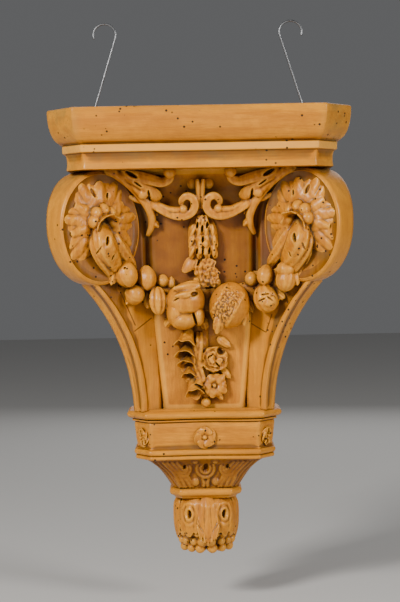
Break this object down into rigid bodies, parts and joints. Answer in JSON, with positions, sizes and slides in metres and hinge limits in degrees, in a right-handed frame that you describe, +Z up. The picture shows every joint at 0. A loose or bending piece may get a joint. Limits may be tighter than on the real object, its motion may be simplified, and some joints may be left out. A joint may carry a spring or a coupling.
{
  "type": "carved wall corbel bracket",
  "caption": "Carved wooden wall bracket with a moulded shelf, scrolled volutes, a fruit garland and a leaf finial, hung on S hooks.",
  "frame": {"origin": "on the flat back, in the middle of the width and halfway up the wood", "axes": "+Z up, +Y out of the back into the wall, -Y towards the viewer, +X to the viewer's right"},
  "size_m": [0.341, 0.165, 0.6167],
  "materials": {
    "waxed_wood": "old waxed limewood, honey brown, darker in the hollows, with worm holes",
    "hook_steel": "bright drawn steel wire",
    "eye_steel": "dull zinc plated steel"
  },
  "bodies": {
    "root": {"carved_corbel": "waxed_wood", "s_hook_left": "hook_steel", "s_hook_right": "hook_steel", "screw_eye_left": "eye_steel", "screw_eye_right": "eye_steel"}
  },
  "joints": []
}
